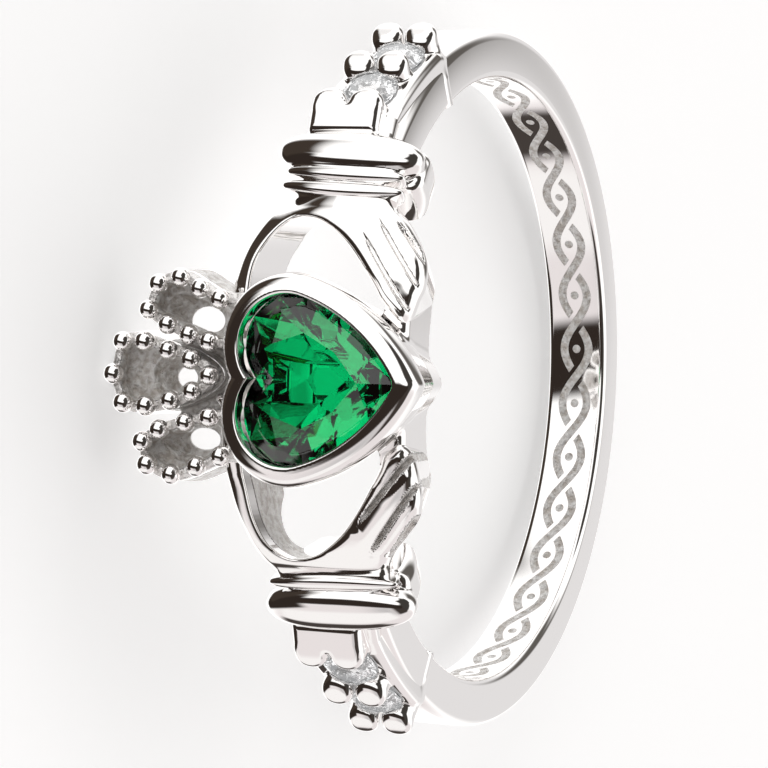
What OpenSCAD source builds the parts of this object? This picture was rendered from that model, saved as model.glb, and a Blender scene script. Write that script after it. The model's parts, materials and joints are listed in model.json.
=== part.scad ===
// Claddagh ring: two cuffed hands hold a heart-cut stone in its bezel below a pierced crown with beaded
// rims, and each shoulder holds two round stones between rounded prongs.
// The ring is drawn upright, with the finger's axis along Z, the head towards -Y and the crown towards -Z,
// and is then laid on the crown's tip and the back of the band. The origin is the middle of the finger hole.

/* [Finger] */
// Inside diameter of the ring
finger_d = 17.3; // [15.5:0.1:20]

/* [Band] */
// Width of the band along the finger
band_w = 1.88; // [1.7:0.01:2.1]
// Thickness of the band
band_t = 1.35; // [1.2:0.01:1.5]
// Rounding of the band's outer edges
edge_round = 0.3; // [0.1:0.01:0.4]
// Rounding of the band's inner edges
comfort_round = 0.22; // [0.1:0.01:0.3]

/* [Heart stone] */
// Width of the heart stone across both lobes
heart_w = 4.4; // [4:0.05:4.8]
// Length of the heart stone from lobes to point
heart_l = 4.37; // [4:0.01:4.8]
// Radius of each lobe of the heart
lobe_r = 1.32; // [1.15:0.01:1.45]
// Radius of the long curve down each side of the heart
flank_r = 4.6; // [4:0.1:8]
// Place of the heart's middle along the finger, towards the point from the band's middle
heart_off = 0.67; // [0.3:0.01:1]
// Height of the heart stone's crown above its girdle
heart_crown_h = 0.48; // [0.3:0.01:0.55]
// Depth of the heart stone below its girdle
heart_pavilion_h = 1.6; // [1.2:0.05:1.9]

/* [Bezel] */
// Height of the bezel's rim above the hands
bezel_rise = 1.02; // [0.8:0.01:1.3]
// Thickness of the bezel's rim round the stone
rim_w = 0.6; // [0.5:0.01:0.75]
// Depth of the stone's girdle below the rim
girdle_drop = 0.48; // [0.4:0.01:0.6]

/* [Hands] */
// Height of the hands above the finger hole
head_t = 2.25; // [2:0.01:2.5]
// Reach of the fingers along the finger from the band's middle
finger_reach = 3.08; // [2.9:0.01:3.3]
// Reach of the thumbs towards the crown from the band's middle
thumb_reach = 2.6; // [2.4:0.01:2.8]
// Rounding of the hands' upper edges
hand_round = 0.26; // [0.1:0.01:0.3]
// How far the head's flanks lean in, from the hands' tops to the finger hole
flank_lean = 0.65; // [0.3:0.01:0.8]
// How far the thumbs thicken towards the finger hole
thumb_lean = 0.3; // [0.1:0.01:0.4]
// Width of the grooves between the fingers
groove_w = 0.2; // [0.12:0.01:0.3]
// Depth of the grooves between the fingers
groove_depth = 0.4; // [0.2:0.01:0.6]

/* [Cuffs] */
// Distance of the broad cuff from the middle of the head, along the curve
cuff_at = 6.47; // [6.3:0.01:6.7]
// Thickness of the broad cuff along the curve
cuff_t = 0.86; // [0.7:0.01:1]
// Length of the broad cuff along the finger
cuff_w = 4.35; // [4:0.01:4.6]
// Place of the cuffs' middle along the finger from the band's middle
cuff_off = 0.2; // [0:0.01:0.4]
// Height of the broad cuff above the hands
cuff_rise = 0.25; // [0.1:0.01:0.5]
// Thickness of each of the two thin ridges beside the broad cuff
ridge_t = 0.36; // [0.3:0.01:0.42]
// Distance from one ridge to the next
ridge_pitch = 0.46; // [0.44:0.01:0.55]
// Length of the longer ridge along the finger
ridge_w = 3.66; // [3.4:0.01:3.9]
// Loss of length from the longer ridge to the shorter one
ridge_step = 0.4; // [0.1:0.01:0.6]

/* [Crown] */
// Reach of the middle lobe's end bead from the band's middle
crown_reach = 5.73; // [5.5:0.01:6]
// Half width of the crown at the outermost beads
crown_half = 2.62; // [2.4:0.01:2.8]
// Diameter of the beads
bead_d = 0.46; // [0.4:0.01:0.52]
// Thickness of the walls below the beads
wall_t = 0.36; // [0.3:0.01:0.4]
// Depth of the crown's walls below the beads at the heart
crown_t = 1.9; // [1.5:0.05:2.1]
// Rise of the crown's underside from the heart to the tip
crown_lift = 0.6; // [0.3:0.01:0.9]
// Thickness of the web in the foot of the crown
web_t = 0.8; // [0.5:0.05:1]
// Diameter of the hole through the web of the middle lobe
web_hole_d = 0.84; // [0.5:0.01:1]

/* [Shoulders] */
// Diameter of the round stones
round_d = 1.62; // [1.5:0.01:1.68]
// Distance from the middle of the head to the first round stone, along the curve
round_at = 9.1; // [9:0.01:9.3]
// Distance from one round stone to the next, along the curve
round_pitch = 1.66; // [1.6:0.01:1.75]
// Height of the round stones' girdles above the band
round_girdle = 0.45; // [0.35:0.01:0.55]
// Width of the shoulder at the cuff
shoulder_w0 = 2.8; // [2.5:0.01:3]
// Width of the shoulder at its far end
shoulder_w1 = 2.2; // [2:0.01:2.4]
// Place of the shoulders' middle along the finger from the band's middle
shoulder_off = -0.1; // [-0.15:0.01:0]
// Height of the shoulder's walls above the band
shoulder_rise = 0.32; // [0.2:0.01:0.4]
// Radius of the rounded prongs
prong_r = 0.54; // [0.48:0.01:0.6]
// Shift of each pair of prongs along the finger, from the pair before it, counted from the cuff
prong_skew = 0.2; // [0:0.01:0.25]
// Height of the prongs' tops above the band
prong_rise = 0.82; // [0.7:0.01:0.95]

/* [Fit] */
// Gap between a stone and its seat
stone_gap = 0.04; // [0.03:0.005:0.06]

/* [Hidden] */
bore_r = finger_d / 2;
band_r = bore_r + band_t;
top_r = bore_r + head_t;
rim_n = top_r + bezel_rise;
girdle_n = rim_n - girdle_drop;
// How far solids that end at the finger hole run into it before it is cut
sink = 0.35;
inner_r = bore_r - sink;
// How far the inner rounding runs past the finger hole's wall
comfort_sink = 0.05;
corner_steps = 4;
fine = 48;
silver = [0.86, 0.85, 0.84];
green = [0.02, 0.5, 0.2];
clear = [0.9, 0.93, 0.95];

// Curves
function turn(s) = s / top_r * 180 / PI;
function on_curve(s, r, a) = [-r * sin(turn(s)), -r * cos(turn(s)), a];
function arc(cx, cy, r, from, to, steps) =
    [for (i = [0:steps]) let (t = from + (to - from) * i / steps) [cx + r * cos(t), cy + r * sin(t)]];
function joined(lists) = [for (l = lists) for (p = l) p];

// A skin through rings of points. Each ring has as many points as the next. A tube's last ring meets its
// first one, and any other skin has both ends closed.
module skin(rings, tube = false) {
    n = len(rings[0]);
    m = len(rings);
    last = tube ? m - 1 : m - 2;
    sides = [for (i = [0:last]) for (j = [0:n - 1])
        let (k = (j + 1) % n, u = i * n, v = ((i + 1) % m) * n)
        each [[u + j, u + k, v + k], [u + j, v + k, v + j]]];
    ends = tube ? [] : [[for (j = [n - 1:-1:0]) j], [for (j = [0:n - 1]) (m - 1) * n + j]];
    polyhedron(points = joined(rings), faces = concat(sides, ends));
}

// Draws a flat shape, across by along, between two heights over the finger's axis
module upright(low, high) translate([0, -low, 0]) rotate([90, 0, 0]) linear_extrude(high - low) children();

// Heart outline
// It grows by a distance outside the stone's girdle, and the point stays crisp.
heart_tip_r = 0.14;
heart_tip_soft = 0.35;
lobe_l = heart_w / 2 - lobe_r;
lobe_a = heart_off - heart_l / 2 + lobe_r;
tip_a = heart_off + heart_l / 2 - heart_tip_r;
tip_gap = norm([lobe_l, tip_a - lobe_a]);
to_lobe = flank_r - lobe_r;
to_tip = flank_r - heart_tip_r;
flank_along = (tip_gap * tip_gap + to_lobe * to_lobe - to_tip * to_tip) / (2 * tip_gap);
flank_side = sqrt(to_lobe * to_lobe - flank_along * flank_along);
tip_dir = [-lobe_l, tip_a - lobe_a] / tip_gap;
flank_c = [lobe_l, lobe_a] + flank_along * tip_dir + flank_side * [-tip_dir[1], tip_dir[0]];
heart_c = [0, lobe_a + 0.3 * lobe_r];

function heart_half(grow, steps) =
    let (r1 = lobe_r + grow, r2 = flank_r + grow, r3 = heart_tip_r + grow * heart_tip_soft,
        tip = flank_c[1] + sqrt(pow(r2 - r3, 2) - pow(flank_c[0], 2)),
        from = acos(lobe_l / r1) - 180,
        meet = atan2(lobe_a - flank_c[1], lobe_l - flank_c[0]),
        end = atan2(tip - flank_c[1], -flank_c[0]),
        lobe = arc(lobe_l, lobe_a, r1, from, meet, steps[0]),
        flank = arc(flank_c[0], flank_c[1], r2, meet, end, steps[1]),
        point = arc(0, tip, r3, end, 90, steps[2]))
    concat(lobe, [for (i = [1:steps[1]]) flank[i]], [for (i = [1:steps[2]]) point[i]]);
function heart(grow, steps) =
    let (half = heart_half(grow, steps))
    concat(half, [for (i = [len(half) - 2:-1:1]) [-half[i][0], half[i][1]]]);
function heart_ring(grow, share, height, steps) =
    [for (p = heart(grow, steps)) let (q = heart_c + share * (p - heart_c)) [-q[0], -height, q[1]]];

// Bezel
// columns: distance outside the girdle as a share of the rim, height below the rim as a share of the
// height of the hands
BEZEL_WALL = [
    [-0.10, 1.60],
    [0.30, 1.02],
    [0.78, 0.50],
    [0.98, 0.28],
    [1.00, 0.16],
    [0.84, 0.06],
    [0.55, 0.00],
    [0.24, 0.03],
    [0.03, 0.09]];
// columns: size as a share of the girdle, height below the girdle as a share of the stone's depth
BEZEL_SEAT = [
    [0.82, 0.36],
    [0.68, 1.10],
    [0.68, 2.20]];
BEZEL_STEPS = [12, 6, 3];
module bezel() {
    outside = [for (row = BEZEL_WALL) heart_ring(row[0] * rim_w, 1, rim_n - row[1] * head_t, BEZEL_STEPS)];
    girdle = [for (side = [1, -1]) heart_ring(stone_gap, 1, girdle_n + side * 1.5 * stone_gap, BEZEL_STEPS)];
    seat = [for (row = BEZEL_SEAT) heart_ring(0, row[0], girdle_n - row[1] * heart_pavilion_h, BEZEL_STEPS)];
    skin(concat(outside, girdle, seat), tube = true);
}

// Band
// It runs round the back of the finger from cuff to cuff.
function band_profile() =
    let (o = band_r - edge_round, w = band_w / 2, i = bore_r + comfort_round - comfort_sink)
    concat(arc(o, w - edge_round, edge_round, 0, 90, corner_steps),
        arc(i, w - comfort_round, comfort_round, 90, 180, corner_steps),
        arc(i, comfort_round - w, comfort_round, 180, 270, corner_steps),
        arc(o, edge_round - w, edge_round, 270, 360, corner_steps));
module band() rotate([0, 0, turn(cuff_at) - 90])
    rotate_extrude(angle = 360 - 2 * turn(cuff_at), $fn = 2 * fine) polygon(band_profile());

// Hands
// Each hand is one arch from the thumb's outer edge to the fingers' front edge. The opening between them is
// cut through it and runs on below the bezel.
// columns: place as a share of the way to the cuff, outer edge as a share of the thumbs' reach, front edge
// as a share of the fingers' reach, height as a share of the hands' height
HAND = [
    [1.020, -0.54, 0.55, 0.86],
    [0.866, -0.56, 0.58, 0.90],
    [0.796, -0.59, 0.62, 0.95],
    [0.742, -0.64, 0.70, 0.98],
    [0.714, -0.68, 0.74, 0.99],
    [0.680, -0.71, 0.79, 1.00],
    [0.626, -0.76, 0.86, 1.00],
    [0.556, -0.81, 0.94, 1.00],
    [0.464, -0.88, 1.00, 1.00],
    [0.386, -0.95, 1.00, 0.99],
    [0.309, -1.01, 0.95, 0.98],
    [0.232, -1.04, 0.89, 0.97],
    [0.155, -1.04, 0.86, 0.96]];
// columns: place as a share of the way to the cuff, place along the finger as a share of the reach, share
// of that reach that is the thumbs' and not the fingers'
OPENING = [
    [0.330, -0.770, 1],
    [0.464, -0.720, 1],
    [0.556, -0.650, 1],
    [0.626, -0.570, 1],
    [0.680, -0.480, 1],
    [0.714, -0.370, 1],
    [0.730, -0.240, 0.5],
    [0.714, -0.130, 0],
    [0.680, -0.020, 0],
    [0.626, 0.160, 0],
    [0.556, 0.290, 0],
    [0.464, 0.430, 0],
    [0.386, 0.550, 0],
    [0.309, 0.660, 0],
    [0.232, 0.740, 0],
    [0.140, 0.750, 0],
    [0.140, -1.130, 1],
    [0.330, -1.130, 1]];
OPENING_MIDDLE = [0.45 * cuff_at, -0.06 * thumb_reach];
// columns: size as a share of the opening, height as a share of the hands' height
OPENING_WALL = [
    [1.14, 1.14],
    [1.00, 0.88]];
// columns: the groove's first place and its last one, each along the way to the cuff and across the
// fingers' reach
GROOVES = [
    [0.606, 0.38, 0.270, 0.95],
    [0.692, 0.49, 0.390, 1.00],
    [0.718, 0.63, 0.500, 1.02]];
hand_steps = 5;
sink_share = (head_t + sink) / head_t;
function hand_ring(row) =
    let (s = row[0] * cuff_at, low = row[1] * thumb_reach, high = row[2] * finger_reach,
        top = bore_r + row[3] * head_t - hand_round)
    concat([on_curve(s, inner_r, low + thumb_lean * sink_share)],
        [for (p = arc(low + hand_round, top, hand_round, 180, 90, hand_steps)) on_curve(s, p[1], p[0])],
        [for (p = arc(high - hand_round, top, hand_round, 90, 0, hand_steps)) on_curve(s, p[1], p[0])],
        [on_curve(s, inner_r, high - flank_lean * sink_share)]);
function opening_ring(share, radius, lean) =
    [for (row = OPENING) let (reach = row[2] * thumb_reach + (1 - row[2]) * finger_reach,
            p = OPENING_MIDDLE + share * ([row[0] * cuff_at, row[1] * reach] - OPENING_MIDDLE))
        on_curve(p[0], radius, p[1] + row[2] * lean)];
module opening() skin(concat(
    [opening_ring(1, inner_r - sink, thumb_lean * sink_share)],
    [for (i = [len(OPENING_WALL) - 1:-1:0])
        opening_ring(OPENING_WALL[i][0], bore_r + OPENING_WALL[i][1] * head_t, 0)]));
module groove(row) {
    from = on_curve(row[0] * cuff_at, top_r, row[1] * finger_reach);
    to = on_curve(row[2] * cuff_at, top_r, row[3] * finger_reach);
    run = to - from;
    along = norm([run[0], run[1]]);
    rotate([0, 0, -turn((row[0] + row[2]) / 2 * cuff_at)]) translate([0, -top_r, (from[2] + to[2]) / 2])
        rotate([0, -atan2(run[2], along), 0])
            cube([norm(run), 2 * groove_depth, groove_w], center = true);
}
module hand() difference() {
    skin([for (row = HAND) hand_ring(row)]);
    opening();
    for (row = GROOVES) groove(row);
}

// Cuffs
// A bar along the finger with a round top and round ends, which lean in towards the finger hole
module bar(s, thick, width, top) {
    r = thick / 2;
    reach = width / 2 - r;
    high = top - r;
    lean = flank_lean * (high - inner_r) / head_t;
    rotate([0, 0, -turn(s)]) translate([0, 0, cuff_off]) {
        translate([r, 0, 0]) rotate([0, -90, 0]) linear_extrude(thick)
            polygon([[-reach, -high], [reach, -high], [reach - lean, -inner_r], [lean - reach, -inner_r]]);
        translate([0, -high, -reach]) cylinder(r = r, h = 2 * reach, $fn = fine);
        for (side = [-1, 1]) translate([0, -high, side * reach]) {
            sphere(r = r, $fn = fine);
            rotate([-90 - side * atan2(lean, high - inner_r), 0, 0])
                cylinder(r = r, h = norm([lean, high - inner_r]), $fn = fine);
        }
    }
}
module cuff() {
    bar(cuff_at, cuff_t, cuff_w, top_r + cuff_rise);
    first = cuff_at - cuff_t / 2 - ridge_pitch / 2;
    for (i = [0, 1]) bar(first - i * ridge_pitch, ridge_t, ridge_w - i * ridge_step, top_r);
}

// Crown
// columns: place across and place along as shares of the crown's half width and reach, bead or none
MIDDLE_LOBE = [
    [0.00, 1.00, 1],
    [0.31, 0.95, 1],
    [0.33, 0.84, 1],
    [0.26, 0.71, 1],
    [0.17, 0.60, 1],
    [0.00, 0.51, 1],
    [-0.17, 0.60, 1],
    [-0.26, 0.71, 1],
    [-0.33, 0.84, 1],
    [-0.31, 0.95, 1]];
SIDE_LOBE = [
    [0.36, 0.30, 0],
    [0.35, 0.50, 1],
    [0.44, 0.62, 1],
    [0.53, 0.74, 1],
    [0.68, 0.83, 1],
    [0.92, 0.79, 1],
    [1.00, 0.68, 1],
    [0.90, 0.56, 1],
    [0.79, 0.45, 1],
    [0.76, 0.28, 0]];
// columns: place across and place along as shares of the crown's half width and reach
CROWN_FOOT = [
    [-0.36, 0.30],
    [-0.35, 0.50],
    [0.35, 0.50],
    [0.36, 0.30]];
WEB_HOLE_PLACE = 0.74;
bead_r = bead_d / 2;
crown_n = top_r - 0.3 * bead_r;
crown_low = crown_n - crown_t;
function crown_points(table) = [for (row = table) [row[0] * crown_half, -row[1] * crown_reach]];
module lobe(table, closed) {
    points = crown_points(table);
    n = len(points);
    last = closed ? n - 1 : n - 2;
    upright(crown_low, crown_n) {
        for (i = [0:last]) {
            run = points[(i + 1) % n] - points[i];
            translate(points[i]) rotate(atan2(run[1], run[0])) translate([0, -wall_t / 2])
                square([norm(run), wall_t]);
        }
        for (p = points) translate(p) circle(d = wall_t, $fn = fine);
    }
    for (i = [0:n - 1]) if (table[i][2] == 1)
        translate([points[i][0], -crown_n, points[i][1]]) sphere(r = bead_r, $fn = fine);
}
// The underside slopes up from the heart's lobes to the tip
crown_start = lobe_a - lobe_r;
module crown_underside() {
    slope = atan2(crown_lift, crown_reach + wall_t / 2 + crown_start);
    translate([0, -crown_low, crown_start]) rotate([-slope, 0, 0])
        translate([-2 * crown_half, 0, -2 * crown_reach]) cube([4 * crown_half, crown_t, 2 * crown_reach]);
}
module crown() {
    difference() {
        union() {
            lobe(MIDDLE_LOBE, true);
            for (side = [0, 1]) mirror([side, 0, 0]) lobe(SIDE_LOBE, false);
            upright(crown_low, crown_low + web_t) {
                polygon(crown_points(MIDDLE_LOBE));
                polygon(crown_points(CROWN_FOOT));
            }
        }
        upright(inner_r, crown_n) translate([0, -WEB_HOLE_PLACE * crown_reach])
            circle(d = web_hole_d, $fn = fine);
        crown_underside();
    }
}

// Shoulders
shoulder_r = band_r + shoulder_rise;
last_prong = round_at + 1.5 * round_pitch;
shoulder_to = last_prong + 0.7 * prong_r;
prong_out = 0.95 * prong_r;
module shoulder() {
    half = (shoulder_to - cuff_at) / 2 * shoulder_r / top_r;
    translate([0, 0, shoulder_off]) {
        intersection() {
            rotate([0, 0, -turn((cuff_at + shoulder_to) / 2)]) upright(inner_r, top_r)
                polygon([[half, -shoulder_w0 / 2], [half, shoulder_w0 / 2],
                    [-half, shoulder_w1 / 2], [-half, -shoulder_w1 / 2]]);
            cylinder(r = shoulder_r, h = 2 * shoulder_w0, center = true, $fn = 2 * fine);
        }
        for (i = [0:2]) for (side = [-1, 1]) rotate([0, 0, -turn(last_prong - i * round_pitch)])
            translate([0, prong_r - band_r - prong_rise, side * prong_out - i * prong_skew]) {
                sphere(r = prong_r, $fn = fine);
                rotate([-90, 0, 0]) cylinder(r = prong_r, h = prong_rise, $fn = fine);
            }
    }
}

// Round stones
round_n = band_r + round_girdle;
round_pavilion = 0.42 * round_d;
round_crown = 0.16 * round_d;
round_sides = 16;
module round_place(i, side) mirror([side, 0, 0])
    rotate([0, 0, -turn(round_at + i * round_pitch)])
        translate([0, -round_n, shoulder_off - (1 - i) * prong_skew]) children();
module round_seat() {
    r = round_d / 2 + stone_gap;
    rotate([90, 0, 0]) translate([0, 0, -2 * stone_gap]) {
        cylinder(r = r, h = 2 * round_d, $fn = fine);
        translate([0, 0, -round_pavilion]) cylinder(r1 = 0.2 * r, r2 = r, h = round_pavilion, $fn = fine);
    }
}
function round_ring(share, height) =
    [for (p = arc(0, 0, share * round_d / 2, 0, 360 - 360 / round_sides, round_sides - 1))
        [p[0], -height, -p[1]]];
// From the culet up: the two edges of the girdle and the table
module round_cut() skin([
    round_ring(0.06, -round_pavilion),
    round_ring(1.00, -stone_gap / 2),
    round_ring(1.00, stone_gap / 2),
    round_ring(0.57, round_crown)]);

// Heart stone
// From the culet up: lower break, the two edges of the girdle, upper break and table
HEART_CUT_STEPS = [6, 3, 1];
module heart_cut() skin([
    heart_ring(0, 0.10, girdle_n - heart_pavilion_h, HEART_CUT_STEPS),
    heart_ring(0, 0.55, girdle_n - 0.62 * heart_pavilion_h, HEART_CUT_STEPS),
    heart_ring(0, 1.00, girdle_n - stone_gap, HEART_CUT_STEPS),
    heart_ring(0, 1.00, girdle_n + stone_gap, HEART_CUT_STEPS),
    heart_ring(0, 0.82, girdle_n + 0.62 * heart_crown_h, HEART_CUT_STEPS),
    heart_ring(0, 0.60, girdle_n + heart_crown_h, HEART_CUT_STEPS)]);

// Laying the ring on the crown's tip and the back of the band
edge_n = edge_round - band_r;
edge_a = edge_round - band_w / 2;
rest_n = crown_low + crown_lift;
rest_a = -(crown_reach + wall_t / 2);
rest_tilt = atan2(edge_a - rest_a, rest_n - edge_n)
    - asin(edge_round / norm([rest_n - edge_n, rest_a - edge_a]));
module laid() rotate([-rest_tilt, 0, 0]) children();

module ring_body() color(silver) laid() difference() {
    union() {
        band();
        bezel();
        crown();
        for (side = [0, 1]) mirror([side, 0, 0]) {
            hand();
            cuff();
            shoulder();
        }
    }
    cylinder(r = bore_r, h = 4 * crown_reach, center = true, $fn = 2 * fine);
    for (side = [0, 1]) for (i = [0, 1]) round_place(i, side) round_seat();
}
module heart_stone() color(green) laid() heart_cut();
module round_stone(i, side) color(clear) laid() round_place(i, side) round_cut();

ring_body();
heart_stone();
round_stone(0, 0);  // round_stone_a
round_stone(1, 0);  // round_stone_b
round_stone(0, 1);  // round_stone_c
round_stone(1, 1);  // round_stone_d
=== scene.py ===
"""Claddagh ring: polished silver with a green heart stone, a pierced beaded crown and four clear round stones."""

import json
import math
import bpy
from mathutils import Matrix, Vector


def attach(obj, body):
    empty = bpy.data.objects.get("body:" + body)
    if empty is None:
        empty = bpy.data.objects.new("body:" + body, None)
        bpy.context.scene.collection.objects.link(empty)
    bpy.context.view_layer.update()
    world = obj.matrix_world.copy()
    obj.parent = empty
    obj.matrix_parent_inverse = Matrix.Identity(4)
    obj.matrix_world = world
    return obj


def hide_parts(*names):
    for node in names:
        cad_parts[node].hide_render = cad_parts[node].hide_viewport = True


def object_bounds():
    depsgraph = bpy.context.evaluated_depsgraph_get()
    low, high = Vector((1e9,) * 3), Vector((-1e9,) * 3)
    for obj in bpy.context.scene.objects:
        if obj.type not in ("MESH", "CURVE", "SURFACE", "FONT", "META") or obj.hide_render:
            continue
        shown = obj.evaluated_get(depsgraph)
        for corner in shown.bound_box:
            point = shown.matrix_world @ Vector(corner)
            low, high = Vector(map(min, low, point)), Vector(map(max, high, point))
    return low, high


bl_info = {
    "name": "Claddagh Ring",
    "version": (1, 0, 0),
    "blender": (4, 5, 0),
    "location": "3D View > Sidebar > Ring",
    "description": "Makes a claddagh ring with cuffed hands, a heart stone, a crown and set shoulders",
    "category": "Add Mesh",
}

from functools import partial

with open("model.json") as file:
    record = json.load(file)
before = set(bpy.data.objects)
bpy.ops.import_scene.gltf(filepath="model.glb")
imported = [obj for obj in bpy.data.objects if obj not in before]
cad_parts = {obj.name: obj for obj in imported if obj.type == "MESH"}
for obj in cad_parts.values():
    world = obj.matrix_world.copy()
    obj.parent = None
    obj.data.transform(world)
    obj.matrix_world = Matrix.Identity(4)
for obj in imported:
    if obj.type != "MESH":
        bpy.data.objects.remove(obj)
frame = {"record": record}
CAD_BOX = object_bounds()

import bmesh
import bpy
import numpy as np
from mathutils import Matrix, Vector

# Ring coordinates are in millimetres: across (towards +X), along the finger (crown to heart point) and out
# from the finger's axis at the head. A place on the head is also given as its arc from the heart's middle at
# the hands' height, its place along the finger and its distance from the axis.
BORE = frame["record"]["mounts"][0]
ALONG = np.array(BORE["axis"]) / np.linalg.norm(BORE["axis"])
ACROSS = np.array((1.0, 0.0, 0.0))
OUT = np.cross(ACROSS, ALONG)
BORE_R = BORE["dims"]["r_mm"]
HEAD_H = 2.25
TOP_R = BORE_R + HEAD_H
BAND_R = BORE_R + 1.35
# How far the cast pieces keep clear of the finger hole
BORE_CLEAR = 0.01
MM = 0.001


def laid(p):
    """Ring coordinates to the place where the ring lies, in metres"""
    return (p[:, 0:1] * ACROSS + p[:, 1:2] * ALONG + p[:, 2:3] * OUT) * MM


def bent(p):
    """Arc, along, radius to across, along, out"""
    t = p[:, 0] / TOP_R
    return np.stack((p[:, 2] * np.sin(t), p[:, 1], p[:, 2] * np.cos(t)), 1)


def unbent(p):
    """Across, along, out to arc, along, radius"""
    return np.stack((TOP_R * np.arctan2(p[:, 0], p[:, 2]), p[:, 1], np.hypot(p[:, 0], p[:, 2])), 1)


# -------- shapes as distance fields
def smooth_loop(points, closed=True, steps=6):
    """A smooth line through points"""
    p = np.asarray(points, float)
    before, after = (p[-1:], p[:2]) if closed else (p[:1], p[-1:])
    p = np.concatenate((before, p, after))
    t = np.linspace(0, 1, steps, endpoint=False)[:, None]
    out = [0.5 * (2 * b + (c - a) * t + (2 * a - 5 * b + 4 * c - d) * t * t + (3 * b - a - 3 * c + d) * t * t * t)
           for a, b, c, d in zip(p, p[1:], p[2:], p[3:])]
    return np.concatenate(out if closed else out + [after])


class Outline:
    """Distance to a flat line, kept on a fine table: below 0 inside a closed one"""

    def __init__(self, points, closed=True, pitch=0.03, margin=1.0):
        p = np.asarray(points, float)
        self.low = p.min(0) - margin
        self.pitch = pitch
        self.size = np.ceil((p.max(0) + margin - self.low) / pitch).astype(int) + 1
        uu, vv = np.meshgrid(*(self.low[k] + pitch * np.arange(self.size[k]) for k in (0, 1)), indexing="ij")
        best = np.full(uu.shape, 1e9)
        inside = np.zeros(uu.shape, bool)
        for i in range(len(p) if closed else len(p) - 1):
            a, b = p[i], p[(i + 1) % len(p)]
            e = b - a
            ll = float(e @ e)
            if ll < 1e-12:
                continue
            wu, wv = uu - a[0], vv - a[1]
            t = np.clip((wu * e[0] + wv * e[1]) / ll, 0, 1)
            best = np.minimum(best, (wu - t * e[0]) ** 2 + (wv - t * e[1]) ** 2)
            if closed and a[1] != b[1]:
                inside ^= ((a[1] <= vv) != (b[1] <= vv)) & (wu < wv * e[0] / e[1])
        self.table = np.sqrt(best)
        if closed:
            self.table[inside] *= -1

    def __call__(self, u, v):
        x = np.clip((u - self.low[0]) / self.pitch, 0, self.size[0] - 1.001)
        y = np.clip((v - self.low[1]) / self.pitch, 0, self.size[1] - 1.001)
        i, j = x.astype(int), y.astype(int)
        x, y = x - i, y - j
        t = self.table
        return ((t[i, j] * (1 - x) + t[i + 1, j] * x) * (1 - y)
                + (t[i, j + 1] * (1 - x) + t[i + 1, j + 1] * x) * y)


def both(a, b, r):
    """Where two shapes overlap, with their shared edge rounded by r"""
    return np.minimum(np.maximum(a, b) + r, 0) + np.hypot(np.maximum(a + r, 0), np.maximum(b + r, 0)) - r


def either(a, b, r):
    """Two shapes as one, with a fillet of r between them"""
    return -both(-a, -b, r)


def ease(x, a, b):
    """0 up to a, 1 from b on, smooth between them"""
    t = np.clip((x - a) / (b - a), 0, 1)
    return t * t * (3 - 2 * t)


def ramp(x, soft):
    """x where it is above 0 and 0 elsewhere, with the corner smoothed over soft"""
    return soft * np.log1p(np.exp(np.clip(x / soft, -20, 20)))


def near_line(u, v, a, b):
    """Distance from the flat line between two points"""
    e = (b[0] - a[0], b[1] - a[1])
    wu, wv = u - a[0], v - a[1]
    t = np.clip((wu * e[0] + wv * e[1]) / (e[0] ** 2 + e[1] ** 2), 0, 1)
    return np.hypot(wu - t * e[0], wv - t * e[1])


def skin(field, low, high, step, place=lambda q: q, unplace=lambda q: q):
    """The closed surface where a field is 0, as points, normals and four-sided faces in ring coordinates"""
    low, high = np.asarray(low, float), np.asarray(high, float)
    counts = np.ceil((high - low) / step).astype(int) + 1
    axes = [low[k] + step * np.arange(counts[k]) for k in range(3)]
    values = np.empty(counts)
    for first in range(0, counts[0], 16):
        slab = np.stack(np.meshgrid(axes[0][first:first + 16], *axes[1:], indexing="ij"), -1)
        values[first:first + 16] = field(slab.reshape(-1, 3)).reshape(slab.shape[:3])
    for k in range(3):
        ends = np.moveaxis(values, k, 0)
        ends[[0, -1]] = np.maximum(ends[[0, -1]], 0.2 * step)
    cells = tuple(counts - 1)
    total = np.zeros(cells + (3,))
    number = np.zeros(cells)
    faces = []
    for k in range(3):
        va, vb = (values.take(range(first, first + counts[k] - 1), k) for first in (0, 1))
        cross = (va < 0) != (vb < 0)
        where = np.argwhere(cross)
        t = va[cross] / (va[cross] - vb[cross])
        spot = where.astype(float)
        spot[:, k] += t
        o1, o2 = [i for i in range(3) if i != k]
        corners = []
        for d1, d2 in ((0, 0), (1, 0), (1, 1), (0, 1)):
            c = where.copy()
            c[:, o1] -= d1
            c[:, o2] -= d2
            np.add.at(total, tuple(c.T), spot)
            np.add.at(number, tuple(c.T), 1)
            corners.append(np.ravel_multi_index(tuple(c.T), cells))
        quad = np.stack(corners, 1)
        turn = (va[cross] > 0) != (k == 1)
        quad[turn] = quad[turn][:, ::-1]
        faces.append(quad)
    faces = np.concatenate(faces)
    used = np.flatnonzero(number.ravel() > 0)
    index = np.full(number.size, -1)
    index[used] = np.arange(len(used))
    faces = index[faces]
    p = low + step * (total.reshape(-1, 3)[used] / number.ravel()[used][:, None])

    def gradient(f, q, h):
        return np.stack([(f(q + h * e) - f(q - h * e)) / (2 * h) for e in np.eye(3)], 1)

    for _ in range(3):
        g = gradient(field, p, 0.3 * step)
        move = (field(p) / np.maximum((g * g).sum(1), 0.2))[:, None] * g
        far = np.linalg.norm(move, axis=1)[:, None]
        p = p - move * np.minimum(1, 0.4 * step / np.maximum(far, 1e-9))
    q = place(p)
    normals = gradient(lambda x: field(unplace(x)), q, 0.025)
    normals /= np.maximum(np.linalg.norm(normals, axis=1), 1e-9)[:, None]
    return p, q, normals, faces


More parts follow.
